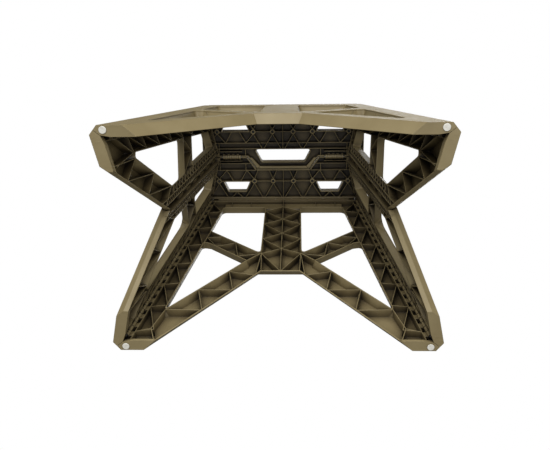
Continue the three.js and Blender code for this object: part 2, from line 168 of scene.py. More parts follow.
mitre_out = (leg_normal + end_normal).normalized()
mitre_normal = corner_line.cross(mitre_out).normalized()
if mitre_normal.dot(Vector((1, -1, 0))) < 0:
    mitre_normal.negate()
chamfer_cut = (corner_at(0) + mitre_out * foot_chamfer, mitre_out)
top_cut = (Vector((0, 0, panel_top)), Vector((0, 0, 1)))
foot_cut = (Vector((0, 0, foot_bottom)), Vector((0, 0, -1)))
leg_mitre_cut = (corner_at(0) - mitre_normal * mitre_gap, mitre_normal)
end_mitre_cut = (corner_at(0) + mitre_normal * mitre_gap, -mitre_normal)


def plane_cut(first, second, third, inside):
    """The cut plane through three points that keeps the inside point."""
    normal = (second - first).cross(third - first).normalized()
    return (first, -normal if normal.dot(inside - first) > 0 else normal)


def held_back(cut, distance=0.08):
    """The same cut a hair further in, so that the shapes it trims don't end flush with the foot block."""
    point, normal = cut
    return (point - normal * distance, normal)


def mirrored_cut(cut):
    """The same cut on the left."""
    point, normal = cut
    return (Vector((-point.x, point.y, point.z)), Vector((-normal.x, normal.y, normal.z)))


# ---------------------------------------------------------------- closed shapes
def plane_points(points):
    return [Vector(point) for point in points]


def signed_area(loop):
    return sum(a.x * b.y - b.x * a.y for a, b in zip(loop, loop[1:] + loop[:1])) / 2


def circle(radius, sides):
    return [(radius * math.cos(math.tau * i / sides), radius * math.sin(math.tau * i / sides))
            for i in range(sides)]


def anticlockwise(loop):
    return loop if signed_area(loop) > 0 else list(reversed(loop))


def inset(loop, distance):
    """The loop moved in by a distance (out, if it is negative), for an anticlockwise loop."""
    moved = []
    count = len(loop)
    for i in range(count):
        before, here, after = loop[i - 1], loop[i], loop[(i + 1) % count]
        first = (here - before).normalized()
        second = (after - here).normalized()
        n1, n2 = Vector((-first.y, first.x)), Vector((-second.y, second.x))
        moved.append(here + (n1 + n2) * (distance / max(0.2, 1 + n1.dot(n2))))
    return moved


def rounded(loop, radius, steps=4):
    """The loop with each corner replaced by an arc."""
    result = []
    count = len(loop)
    for i in range(count):
        before, here, after = loop[i - 1], loop[i], loop[(i + 1) % count]
        first, second = (before - here).normalized(), (after - here).normalized()
        angle = math.acos(max(-1, min(1, first.dot(second))))
        reach = radius / math.tan(angle / 2)
        reach = min(reach, (before - here).length * 0.45, (after - here).length * 0.45)
        start, end = here + first * reach, here + second * reach
        for step in range(steps + 1):
            t = step / steps
            result.append(start * (1 - t) ** 2 + here * (2 * t * (1 - t)) + end * t ** 2)
    return result


class Panel:
    """Collects closed shapes, trimmed by cutting planes, and turns them into one mesh object."""

    def __init__(self, cuts=()):
        self.cuts = list(cuts)
        self.slanted_edges = []
        self.points = []
        self.faces = []

    def take(self, mesh, cuts=None):
        for point, normal in self.cuts if cuts is None else cuts:
            everything = mesh.verts[:] + mesh.edges[:] + mesh.faces[:]
            bmesh.ops.bisect_plane(mesh, geom=everything, plane_co=point, plane_no=normal,
                                   clear_outer=True, dist=1e-4)
            opened = [edge for edge in mesh.edges if edge.is_boundary]
            if opened:
                bmesh.ops.holes_fill(mesh, edges=opened, sides=0)
        if mesh.faces:
            bmesh.ops.recalc_face_normals(mesh, faces=mesh.faces[:])
            mesh.verts.index_update()
            start = len(self.points)
            self.points.extend(vert.co.copy() for vert in mesh.verts)
            self.faces.extend([start + vert.index for vert in face.verts] for face in mesh.faces)
        mesh.free()

    def rings(self, rings, closed=False, cuts=None):
        """A skin over a row of rings of points, capped at both ends, or joined round if it is closed."""
        mesh = bmesh.new()
        made = [[mesh.verts.new(point) for point in ring] for ring in rings]
        pairs = list(zip(made, made[1:] + made[:1])) if closed else list(zip(made, made[1:]))
        for one, two in pairs:
            count = len(one)
            for i in range(count):
                mesh.faces.new((one[i], one[(i + 1) % count], two[(i + 1) % count], two[i]))
        if not closed:
            mesh.faces.new(made[0])
            mesh.faces.new(made[-1])
        self.take(mesh, cuts)

    def plate(self, place, outline, holes, low, high, edge=0.7, cuts=None):
        """A flat plate with holes, its edges rounded over at the high side."""
        loops = [(anticlockwise(outline), 1)] + [(anticlockwise(hole), -1) for hole in holes]
        levels = [(low, 0.0), (high - edge, 0.0), (high - 0.3 * edge, 0.3 * edge), (high, edge)]
        mesh = bmesh.new()
        caps = {0: [], len(levels) - 1: []}
        for loop, sense in loops:
            made = []
            for depth, distance in levels:
                ring = inset(loop, distance * sense) if distance else loop
                made.append([mesh.verts.new(place(point.x, point.y, depth)) for point in ring])
            count = len(loop)
            for one, two in zip(made, made[1:]):
                for i in range(count):
                    mesh.faces.new((one[i], one[(i + 1) % count], two[(i + 1) % count], two[i]))
            for level in caps:
                caps[level].extend(
                    mesh.edges.get((made[level][i], made[level][(i + 1) % count])) for i in range(count))
        for edges in caps.values():
            bmesh.ops.triangle_fill(mesh, use_beauty=True, use_dissolve=False, edges=edges)
        self.take(mesh, cuts)

    def rib(self, place, start, end, low, high, foot=1.7, tip=1.1, cuts=None):
        """A straight rib with draft and a rounded lip. low is the lip's depth, or gives it for a point."""
        start, end = Vector(start), Vector(end)
        along = (end - start).normalized()
        side = Vector((-along.y, along.x))
        soft = 0.22
        rings = []
        for point, onward in ((start, along), (end, -along)):
            pull = self.pull_back(point, along)
            top = low(point) if callable(low) else low
            section = [(-foot / 2, high), (-tip / 2, top + soft), (-tip / 2 + soft, top),
                       (tip / 2 - soft, top), (tip / 2, top + soft), (foot / 2, high)]
            ring = []
            for across, depth in section:
                share = pull * max(0.0, depth - rim) / (thickness - rim)
                ring.append(place(*(point + side * across + onward * share), depth))
            rings.append(ring)
        self.rings(rings, cuts=cuts)

    def slant(self, loop, distance):
        """Notes a window whose walls slant out by a distance, and its mirror image."""
        self.slanted_edges += [(one, two, distance) for one, two in zip(loop, loop[1:] + loop[:1])]

    def pull_back(self, point, along):
        """How far a rib's outer end draws back from a slanted window wall that it runs up to."""
        for one, two, slant in self.slanted_edges:
            for mirror in (1, -1):
                start, finish = Vector((one.x * mirror, one.y)), Vector((two.x * mirror, two.y))
                edge = finish - start
                length = edge.length
                edge.normalize()
                reach = (point - start).dot(edge)
                gap = abs((point - start).cross(edge))
                if -2.0 < reach < length + 2.0 and gap < 3.2:
                    return slant / max(0.45, abs(along.cross(edge)))
        return 0.0

    def ribs(self, place, pairs, low, high, foot=1.7, tip=1.1, cuts=None):
        for start, end in pairs:
            self.rib(place, start, end, low, high, foot, tip, cuts)

    def path(self, place, points, low, high, foot, tip):
        """A wall along a line of points, each stretch run on a little so that the corners close."""
        points = plane_points(points)
        for start, end in zip(points, points[1:]):
            along = (end - start).normalized() * (tip * 0.4)
            self.rib(place, start - along, end + along, low, high, foot, tip)

    def frame(self, place, loop, low, high, foot=2.1, tip=1.7, slant=0.0):
        """A wall around a window: loop is its edge at the lip, and slant widens it at the outer face."""
        loop = anticlockwise(loop)
        soft = 0.3
        lean = slant * 0.85
        section = [(lean, high), (0, low + soft), (soft, low), (tip - soft, low), (tip, low + soft),
                   (lean + foot, high)]
        self.rings([[place(point.x, point.y, depth) for point in inset(loop, -distance)]
                    for distance, depth in section], closed=True)

    def block(self, place, outline, low, high, edge=0.4, cuts=None):
        """A solid block over an outline, with its lower rim rounded over."""
        loop = anticlockwise(plane_points(outline))
        levels = [(low, inset(loop, edge)), (low + edge, loop), (high, loop)]
        self.rings([[place(point.x, point.y, depth) for point in ring] for depth, ring in levels],
                   cuts=cuts)

    def barrel(self, start, end, radius, sides=20, edge=0.35, bore=0.0):
        """A hinge knuckle between two points, chamfered at both ends."""
        axis = (end - start).normalized()
        across = axis.orthogonal().normalized()
        other = axis.cross(across)
        length = (end - start).length
        profile = [(0.0, radius - edge), (edge, radius), (length - edge, radius), (length, radius - edge)]
        if bore:
            profile += [(length, bore), (0.0, bore)]
        ring = circle(1, sides)
        self.rings([[start + axis * along + (across * c + other * s) * size for c, s in ring]
                    for along, size in profile], closed=bool(bore), cuts=[])

    def turn(self, centre, profile, sides):
        """A turned solid round a vertical line: the profile gives its radius and height."""
        x, y, z = centre
        self.rings([[Vector((x + across, y + along, z + up)) for across, along in circle(radius, sides)]
                    for radius, up in profile])

    def object(self, name, body, slot, material, replaced, x=1, y=1):
        """The collected shapes as one object on a body, mirrored where x or y is -1."""
        mesh = bpy.data.meshes.new(name)
        points = [Vector((point.x * x, point.y * y, point.z)) * MM for point in self.points]
        faces = self.faces if x * y > 0 else [list(reversed(face)) for face in self.faces]
        mesh.from_pydata(points, [], faces)
        mesh.validate()
        piece = bpy.data.objects.new(name, mesh)
        scene.collection.objects.link(piece)
        mesh.materials.append(material)
        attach(piece, body)
        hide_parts(*replaced)


def spans(count, start, end, parity):
    """Every other one of the equal parts of a hinge."""
    step = (end - start) / count
    return [(start + i * step, start + (i + 1) * step) for i in range(count) if i % 2 == parity]


def zigzag(first, second):
    """The ribs that run back and forth between two rows of nodes."""
    pairs = []
    for i, node in enumerate(first):
        if i < len(second):
            pairs.append((node, second[i]))
            if i + 1 < len(first):
                pairs.append((second[i], first[i + 1]))
    return pairs


# ---------------------------------------------------------------- materials
def new_material(name):
    material = bpy.data.materials.new(name)
    material.use_nodes = True
    tree = material.node_tree
    return material, tree.nodes, tree.links, tree.nodes["Principled BSDF"]


def noise(nodes, links, scale, detail, roughness=0.5):
    place = nodes.new("ShaderNodeTexCoord")
    texture = nodes.new("ShaderNodeTexNoise")
    texture.inputs["Scale"].default_value = scale
    texture.inputs["Detail"].default_value = detail
    texture.inputs["Roughness"].default_value = roughness
    links.new(place.outputs["Object"], texture.inputs["Vector"])
    return texture.outputs["Fac"]


def ramp(nodes, links, source, stops):
    node = nodes.new("ShaderNodeValToRGB")
    ends = node.color_ramp.elements
    for end, (position, colour) in zip(ends, (stops[0], stops[-1])):
        end.position = position
        end.color = (*colour, 1)
    for position, colour in stops[1:-1]:
        ends.new(position).color = (*colour, 1)
    links.new(source, node.inputs["Fac"])
    return node.outputs["Color"]


def grain(nodes, links, shader, scale, depth, strength, edge=0.0):
    """A fine moulded surface, with its edges softened by a small radius."""
    bump = nodes.new("ShaderNodeBump")
    bump.inputs["Strength"].default_value = strength
    bump.inputs["Distance"].default_value = depth
    links.new(noise(nodes, links, scale, 3.0), bump.inputs["Height"])
    if edge:
        soft = nodes.new("ShaderNodeBevel")
        soft.samples = 4
        soft.inputs["Radius"].default_value = edge
        links.new(soft.outputs["Normal"], bump.inputs["Normal"])
    links.new(bump.outputs["Normal"], shader.inputs["Normal"])


def moulded_plastic():
    material, nodes, links, shader = new_material("olive_moulded_plastic")
    flow = ramp(nodes, links, noise(nodes, links, 26.0, 5.0), [
        (0.30, (0.240, 0.190, 0.092)), (0.55, (0.266, 0.213, 0.106)), (0.75, (0.292, 0.236, 0.122))])
    worn = ramp(nodes, links, noise(nodes, links, 150.0, 6.0, 0.7), [
        (0.62, (0.0, 0.0, 0.0)), (0.80, (0.35, 0.35, 0.35))])
    mix = nodes.new("ShaderNodeMix")
    mix.data_type = "RGBA"
    links.new(worn, mix.inputs[0])
    links.new(flow, mix.inputs[6])
    mix.inputs[7].default_value = (0.330, 0.285, 0.172, 1)
    colour = mix.outputs[2]
    # Painted shade: two ambient-occlusion masks multiply the base colour darker where surfaces are
    # enclosed. The near one darkens the pockets between ribs, and the far one darkens the deep inside of
    # the stool.
    for reach, stops in (
            (0.016, [(0.20, (0.15, 0.135, 0.10)), (0.62, (0.62, 0.60, 0.56)), (0.95, (1.0, 1.0, 1.0))]),
            (0.22, [(0.08, (0.20, 0.175, 0.13)), (0.32, (0.52, 0.49, 0.43)),
                    (0.58, (0.96, 0.95, 0.94))])):
        shade = nodes.new("ShaderNodeAmbientOcclusion")
        shade.samples = 8
        shade.inputs["Distance"].default_value = reach
        painted_recess_shade = nodes.new("ShaderNodeMix")
        painted_recess_shade.data_type = "RGBA"
        painted_recess_shade.blend_type = "MULTIPLY"
        painted_recess_shade.inputs[0].default_value = 1.0
        links.new(colour, painted_recess_shade.inputs[6])
        links.new(ramp(nodes, links, shade.outputs["AO"], stops), painted_recess_shade.inputs[7])
        colour = painted_recess_shade.outputs[2]
    links.new(colour, shader.inputs["Base Color"])
    rough = nodes.new("ShaderNodeMapRange")
    rough.inputs["To Min"].default_value = 0.46
    rough.inputs["To Max"].default_value = 0.62
    links.new(noise(nodes, links, 60.0, 4.0), rough.inputs["Value"])
    links.new(rough.outputs["Result"], shader.inputs["Roughness"])
    grain(nodes, links, shader, 2200.0, 0.00012, 0.35, edge=0.0005)
    return material


def pad_plastic():
    material, nodes, links, shader = new_material("foot_pad_plastic")
    colour = ramp(nodes, links, noise(nodes, links, 300.0, 4.0), [
        (0.35, (0.70, 0.68, 0.60)), (0.70, (0.82, 0.81, 0.75))])
    links.new(colour, shader.inputs["Base Color"])
    shader.inputs["Roughness"].default_value = 0.45
    grain(nodes, links, shader, 1500.0, 0.0001, 0.3)
    return material


def steel_rod():
    material, nodes, links, shader = new_material("steel_rod")
    colour = ramp(nodes, links, noise(nodes, links, 420.0, 5.0), [
        (0.35, (0.30, 0.30, 0.30)), (0.70, (0.46, 0.46, 0.45))])
    links.new(colour, shader.inputs["Base Color"])
    shader.inputs["Metallic"].default_value = 1.0
    shader.inputs["Roughness"].default_value = 0.32
    grain(nodes, links, shader, 900.0, 0.00005, 0.3)
    return material


def stud_rubber():
    material, nodes, links, shader = new_material("stud_rubber")
    colour = ramp(nodes, links, noise(nodes, links, 500.0, 5.0), [
        (0.35, (0.018, 0.018, 0.016)), (0.70, (0.040, 0.039, 0.035))])
    links.new(colour, shader.inputs["Base Color"])
    shader.inputs["Roughness"].default_value = 0.8
    grain(nodes, links, shader, 1800.0, 0.00015, 0.6)
    return material


olive, pad_white, steel, rubber = moulded_plastic(), pad_plastic(), steel_rod(), stud_rubber()

# ---------------------------------------------------------------- leg panels
def leg_panel():
    """The rear leg panel."""
    sides = (leg_mitre_cut, chamfer_cut)
    inner_sides = [held_back(cut) for cut in sides]
    panel = Panel([*inner_sides, *map(mirrored_cut, inner_sides), top_cut, held_back(foot_cut)])
    arch = [(-arch_foot_x, below), (-29, 163.8), (29, 163.8), (arch_foot_x, below)]
    outline = plane_points([(corner_x(below) + spread, below), (corner_x(above) + spread, above),
                            (-corner_x(above) - spread, above), (-corner_x(below) - spread, below), *arch])
    slanted = outline[:4] + inset(outline, arch_slant)[4:]
    upper = [(31.5, 363), (103.6, 363), (118.4, 283), (32.5, 215)]
    lower = [(53.8, 193.3), (117, 243.9), (125.5, 246), (158.8, 70.0)]
    windows = []
    for side in (1, -1):
        for window, radius in ((upper, 5.0), (lower, 1.8)):
            loop = anticlockwise(plane_points([(side * x, z) for x, z in window]))
            windows.append(rounded(loop, radius))
            if side > 0:
                panel.slant(loop, leg_window_slant)
    holes = [inset(window, -leg_window_slant) for window in windows]
    panel.plate(leg_place, slanted, holes, floor_depth, thickness)
    for window in windows:
        panel.frame(leg_place, window, rim, floor_depth, slant=leg_window_slant)

    # The arch's wall slants from its inner lip back to the outer face.
    section = [(0, rim + 0.5), (0.4, rim), (2.0, rim), (2.4, rim + 0.5), (arch_slant - 0.4, floor_depth),
               (arch_slant + 1.5, floor_depth), (arch_slant + 1.5, thickness - 0.3),
               (arch_slant, thickness - 0.3)]
    offsets = [inset(outline, across)[4:] for across, depth in section]
    panel.rings([[leg_place(loop[i].x, loop[i].y, depth) for loop, (across, depth) in zip(offsets, section)]
                 for i in range(4)])

    # Planes that trim the ribs to that wall: over the hub, and along the arms.
    low_edge, high_edge = [inset(outline, across) for across in (cut_margin, arch_slant + cut_margin)]
    hub_cut, arm_cut = [
        plane_cut(leg_place(*low_edge[i], rim), leg_place(*low_edge[i + 1], rim),
                  leg_place(*high_edge[i], thickness), inside)
        for i, inside in ((5, leg_place(0, 230, 5)), (6, leg_place(200, 100, 5)))]

    # Edge walls, and the walls beside the corner hinges.
    wall = 1.9
    top = panel_top - wall / 2
    panel.rib(leg_place, (-117, top), (117, top), rim - 0.4, floor_depth, wall + 0.3, wall)
    panel.rib(leg_place, (-141, top - 1.5), (141, top - 1.5), 0.2, floor_depth, 5.0, 4.6)
    for side in (1, -1):
        def place(x, z, depth, side=side):
            return leg_place(side * x, z, depth)

        arm_cuts = [*panel.cuts, arm_cut if side > 0 else mirrored_cut(arm_cut)]
        hub_cuts = [*panel.cuts, hub_cut]
        foot_top = 5.0
        toe = arch_slant * math.hypot(1, arch_drift)
        rings = []
        for z in (below, foot_top):
            edge, corner = arch_foot_x - (z - below) * arch_drift, corner_x(z)
            rings.append([place(x, z, depth) for x, depth in (
                (edge, rim), (corner - rim_stop, rim), (corner, 0.0), (corner + spread, 0.0),
                (corner + spread, thickness - 0.2), (edge + toe, thickness - 0.2))])
        panel.rings(rings, cuts=[foot_cut, *(sides if side > 0 else map(mirrored_cut, sides))])
        panel.rib(place, (corner_x(above) - trough, above), (corner_x(below) - trough, below),
                  trough_lip, floor_depth, 2.0, 1.5)
        panel.block(place, [(corner_x(below) - 2, below), (corner_x(below) + spread, below),
                            (corner_x(above) + spread, above), (corner_x(above) - 2, above)],
                    bead_depth, thickness - 0.2)

        # Rail.
        heights = [381.0] + [349.2 - 53.95 * i for i in range(7)]
        inner = [(99.0 + rail_taper_leg * (underside - z), z) for z in heights]
        outer = [(corner_x(z) - trough, z) for z in heights]

        def rail_lip(point):
            return trough_lip if corner_x(point.y) - point.x < trough + 1.5 else lip

        panel.ribs(place, zigzag(inner, outer)[1:], rail_lip, floor_depth)
        panel.rib(place, (158.3, 70), (171, 28), lip, floor_depth)
        panel.rib(place, (171, 28), (163, 4), lip, floor_depth, cuts=arm_cuts)
        panel.rib(place, (171, 28), (corner_x(24) - trough, 24), rail_lip, floor_depth)

        # Spine and hub.
        centre = [(0, 366), (0, 322), (0, 275.7), (0, 228.6)]
        flank = [(31, 350), (31, 306), (31, 258), (31, 214)]
        panel.ribs(place, zigzag(centre, flank), lip, floor_depth, 2.0, 1.0)
        panel.ribs(place, [(flank[3], (0, 164.5)), (flank[3], (29, 164))], lip, floor_depth, cuts=hub_cuts)
        panel.rib(place, flank[3], (37, 156), lip, floor_depth, cuts=arm_cuts)
        panel.rib(place, (30.5, 215), (54.5, 191.8), rim, floor_depth, 2.0, 1.6)

        # Arms.
        upper_nodes = [(77, 163.5), (117.8, 116.3), (158.3, 69.6)]
        lower_nodes = [(38, 153.5), (68, 116), (107, 68), (147, 19)]
        panel.ribs(place, zigzag(lower_nodes, upper_nodes)[:-1], lip, floor_depth, 2.4, 1.1, cuts=arm_cuts)
        panel.path(place, [(118.4, 283), (125.5, 246)], rim, floor_depth, 1.8, 1.4)
        panel.ribs(place, [((34, 213), (68, 206.5)), ((68, 206.5), (74, 246)), ((74, 246), (104, 235)),
                           ((104, 235), (122, 262)), ((96, 265), (122, 262))], lip, floor_depth, 2.2, 1.0)
        panel.ribs(place, [((57.5, 363.5), (57.5, panel_top - 1)), ((92, 363.5), (92, panel_top - 1))],
                   2.5, floor_depth, 2.0, 1.2)
        panel.barrel(Vector((side * pad_x, pad_y, 1.3)), Vector((side * pad_x, pad_y, 10)), pad_radius)

        # Corner hinge.
        for low, high in spans(corner_spans, corner_from, corner_to, 0):
            low, high = low + knuckle_gap, high - knuckle_gap
            start, end = corner_at(low), corner_at(high)
            start.x *= side
            end.x *= side
            panel.barrel(start, end, knuckle_radius, sides=knuckle_sides, bore=rod_bore)
            panel.block(place, [(corner_x(low) - trough, low), (corner_x(low) - web_gap, low),
                                (corner_x(high) - web_gap, high), (corner_x(high) - trough, high)],
                        0.3, bead_depth + 0.5, edge=0.3, cuts=[])
    panel.rib(leg_place, (0, panel_top - 1), (0, 164.5), lip, floor_depth, 2.0, 1.1,
              cuts=[*panel.cuts, hub_cut])

    # Band under the seat, and the seat hinge.
    panel.block(leg_place, [(-104, 366), (104, 366), (104, 386), (-104, 386)], 3.5, floor_depth, edge=1.2)
    offset = leg_hinge - leg_place(0, underside, 0)
    hinge_depth = offset.dot(leg_normal)
    hinge_height = (leg_hinge - leg_normal * hinge_depth).z
    for low, high in spans(leg_hinge_spans, -leg_hinge_half_length, leg_hinge_half_length, 0):
        low, high = low + knuckle_gap, high - knuckle_gap
        panel.block(leg_place, [(low, 392.6), (high, 392.6), (high, hinge_height), (low, hinge_height)],
                    0.6, thickness - 0.6, edge=0.6, cuts=[])
        panel.barrel(Vector((low, leg_hinge.y, leg_hinge.z)), Vector((high, leg_hinge.y, leg_hinge.z)),
                     leg_hinge_radius, sides=32, bore=leg_rod_bore)
    return panel


# ---------------------------------------------------------------- end panels
end_spans = 11
end_radius = 3.4


def end_half(carries_rod):
    """One half of an end panel, at the right-hand rear."""
    sides = (end_mitre_cut, chamfer_cut)
    panel = Panel([*map(held_back, sides), top_cut, held_back(foot_cut)])
    own = spans(end_spans, end_hinge_from, end_hinge_to, 0 if carries_rod else 1)
    other = spans(end_spans, end_hinge_from, end_hinge_to, 1 if carries_rod else 0)
    notch = 5.8
    middle = [(middle_gap, above)]
    for low, high in sorted(other, reverse=True):
        low, high = low - 0.3, high + 0.3
        middle += [(middle_gap, high), (notch, high), (notch, low), (middle_gap, low)]
    arm = [(middle_gap, 124.8), (104, below)]
    arm_chamfer, arm_land = 6.5, 4.4
    slope = (Vector(arm[1]) - Vector(arm[0])).normalized()
    inward = Vector((-slope.y, slope.x))
    raised = [Vector(point) + inward * arm_chamfer for point in arm]
    raised[0] = Vector((middle_gap, raised[0].y + (raised[0].x - middle_gap) * arm_drop))
    outline = plane_points([*middle, *raised, (leg_y(below) + spread, below),
                            (leg_y(above) + spread, above)])
    big = [(25.5, 215), (70.6, 249.5), (97.8, 76), (92, 71), (25.5, 158)]
    small = [(25.5, 257), (64.8, 286.5), (51.5, 368), (25.5, 370.5)]
    loops = [anticlockwise(plane_points(window)) for window in (big, small)]
    for loop, slant in zip(loops, end_window_slants):
        panel.slant(loop, slant)
    windows = [rounded(loop, 3.2) for loop in loops]
    holes = [inset(window, -slant) for window, slant in zip(windows, end_window_slants)]
    panel.plate(end_place, outline, holes, floor_depth, thickness, edge=0.6)
    for window, slant in zip(windows, end_window_slants):
        panel.frame(end_place, window, rim, floor_depth, slant=slant)

    # Arm edge: an inner lip, and an outer face cut back.
    section = [(0, rim + 0.4), (0.4, rim), (1.6, rim), (2.0, rim + 0.4), (2.6, arm_land + 2),
               (arm_chamfer + 1, floor_depth), (arm_chamfer + 2, floor_depth),
               (arm_chamfer + 2, thickness - 0.1), (arm_chamfer, thickness), (0, arm_land)]
    ends = [Vector(arm[0]) - slope * 12, Vector(arm[1])]
    middle_cut = (Vector((0, middle_gap, 0)), Vector((0, -1, 0)))
    panel.rings([[end_place(*(point + inward * across), depth) for across, depth in section]
                 for point in ends], cuts=[*panel.cuts, middle_cut])
    start, end = [point + inward * cut_margin for point in ends]
    arm_cuts = [*panel.cuts, plane_cut(
        end_place(*start, arm_land), end_place(*end, arm_land),
        end_place(*(ends[0] + inward * (arm_chamfer + cut_margin)), thickness), end_place(60, 200, 5))]

    def rail_lip(point):
        return trough_lip if leg_y(point.y) - point.x < trough + 1.5 else lip

    # Edge walls.
    panel.rib(end_place, (middle_gap, panel_top - 1), (leg_y(panel_top) - rim_stop, panel_top - 1),
              rim, floor_depth, 2.2, 1.9)
    foot_top, foot_chamfer_width = 9.0, 8.0
    rings = []
    for z in (below, foot_top):
        edge, corner = arm[0][0] + (arm[0][1] - z) / arm_drop, leg_y(z)
        rings.append([end_place(y, z, depth) for y, depth in (
            (edge, rim), (corner - rim_stop, rim), (corner, 0.0), (corner + spread, 0.0),
            (corner + spread, thickness - 0.2), (edge + 1.0 + foot_chamfer_width, thickness - 0.2),
            (edge + 1.0, arm_land))])
    panel.rings(rings, cuts=[foot_cut, *sides])
    panel.rib(end_place, (leg_y(above) - trough, above), (leg_y(below) - trough, below),
              trough_lip, floor_depth, 2.0, 1.5)
    panel.block(end_place, [(leg_y(below) - 2, below), (leg_y(below) + spread, below),
                            (leg_y(above) + spread, above), (leg_y(above) - 2, above)],
                bead_depth, thickness - 0.2)

    # Rail, arm, strut and top band.
    heights = [381, 344, 298, 252, 206, 160, 114, 72]
    inner = [(48.7 + rail_taper_end * (underside - z), z) for z in heights]
    outer = [(leg_y(z) - trough, z) for z in heights]
    panel.ribs(end_place, zigzag(outer, inner), rail_lip, floor_depth)
    for pairs, depth in (
            ([((99, 70), (leg_y(40) - trough, 38)), ((99, 70), (96, 14))], rail_lip),
            (zigzag([(38.6, 76.2), (72.6, 31), (99, 6)], [(58, 113), (91, 70)]), lip),
            ([((25.5, 156), (38.6, 76.2)), ((25.5, 156), (6, 117.5))], lip)):
        panel.ribs(end_place, pairs, depth, floor_depth, cuts=arm_cuts)
    panel.ribs(end_place, [((24.5, 216), (45, 271)), ((45, 271), (70.5, 250.5))], lip, floor_depth)
    panel.ribs(end_place, [((27, 392), (38, 371)), ((38, 371), (52, 392))], lip, floor_depth)

    # Middle bar: a comb of small ribs between two long ones, and cross ribs beside the windows.
    near, far, side = 7.0, 14.2, 24.6
    bar_low, bar_high = 118.0, panel_top - 2
    panel.rib(end_place, (near, bar_low - 2), (near, bar_high), lip, floor_depth, 1.6, 1.1, cuts=arm_cuts)
    panel.rib(end_place, (far, bar_low - 10), (far, bar_high), rim, floor_depth, 1.7, 1.2, cuts=arm_cuts)
    comb_pitch, cross_pitch, cross_from = 7.9, 13.4, 158
    for i in range(int((bar_high - bar_low - 8) / comb_pitch)):
        z = bar_low + 6 + i * comb_pitch
        bend = [(near, z), (near + 2.4, z + 2.6), (far - 2.4, z + 1.2), (far, z + 4.2)]
        panel.ribs(end_place, zip(bend, bend[1:]), lip, floor_depth, 1.2, 0.8)
    count = int((bar_high - cross_from - 2) / cross_pitch)
    bar_nodes = [(far, cross_from + i * cross_pitch) for i in range(count)]
    side_nodes = [(side, cross_from + (i + 0.5) * cross_pitch) for i in range(count)]
    panel.ribs(end_place, zigzag(bar_nodes, side_nodes), rim, floor_depth, 1.3, 0.85)
    for low, high in own:
        panel.block(end_place, [(middle_gap, low + 0.5), (near, low + 0.5), (near, high - 0.5),
                                (middle_gap, high - 0.5)], 4.0, thickness - 0.4, edge=0.5)

    # Middle hinge on the outer face.
    web_back = 7.0
    web_edge = 0.0 if carries_rod else 2.3
    past = 0.0 if carries_rod else 2.0
    for low, high in own:
        low, high = low + 0.6, high - 0.6
        start, end = end_hinge_at(low), end_hinge_at(high)
        face = [end_place(web_back, z, thickness).x - 2 for z in (low, high)]
        panel.block(sideways, [(face[0], low), (start.x + past, low),
                               (end.x + past, high), (face[1], high)], web_edge, web_back)
        if carries_rod:
            panel.barrel(start, end, end_radius, sides=24, bore=rod_bore)

    # Corner hinge.
    for low, high in spans(corner_spans, corner_from, corner_to, 1):
        low, high = low + knuckle_gap, high - knuckle_gap
        panel.barrel(corner_at(low), corner_at(high), knuckle_radius, sides=knuckle_sides, bore=rod_bore)
        panel.block(end_place, [(leg_y(low) - trough, low), (leg_y(low) - web_gap, low),
                                (leg_y(high) - web_gap, high), (leg_y(high) - trough, high)],
                    0.3, bead_depth + 0.5, edge=0.3, cuts=[])
    return panel


# ---------------------------------------------------------------- seat halves
seat_depth = seat_top - underside
seat_floor = seat_depth - 2.4
boss_x = (18.1, 51.5, 114.6)
boss_y = 45.0
boss_bore = 2.4
boss_sides = 24
rib_line, rib_step = 24.8, 14.6
rib_low = 0.35
seat_hinge_from, seat_hinge_to = 74.0, 106.0
seat_hinge_radius = 3.8
seat_hinge_spans = 8


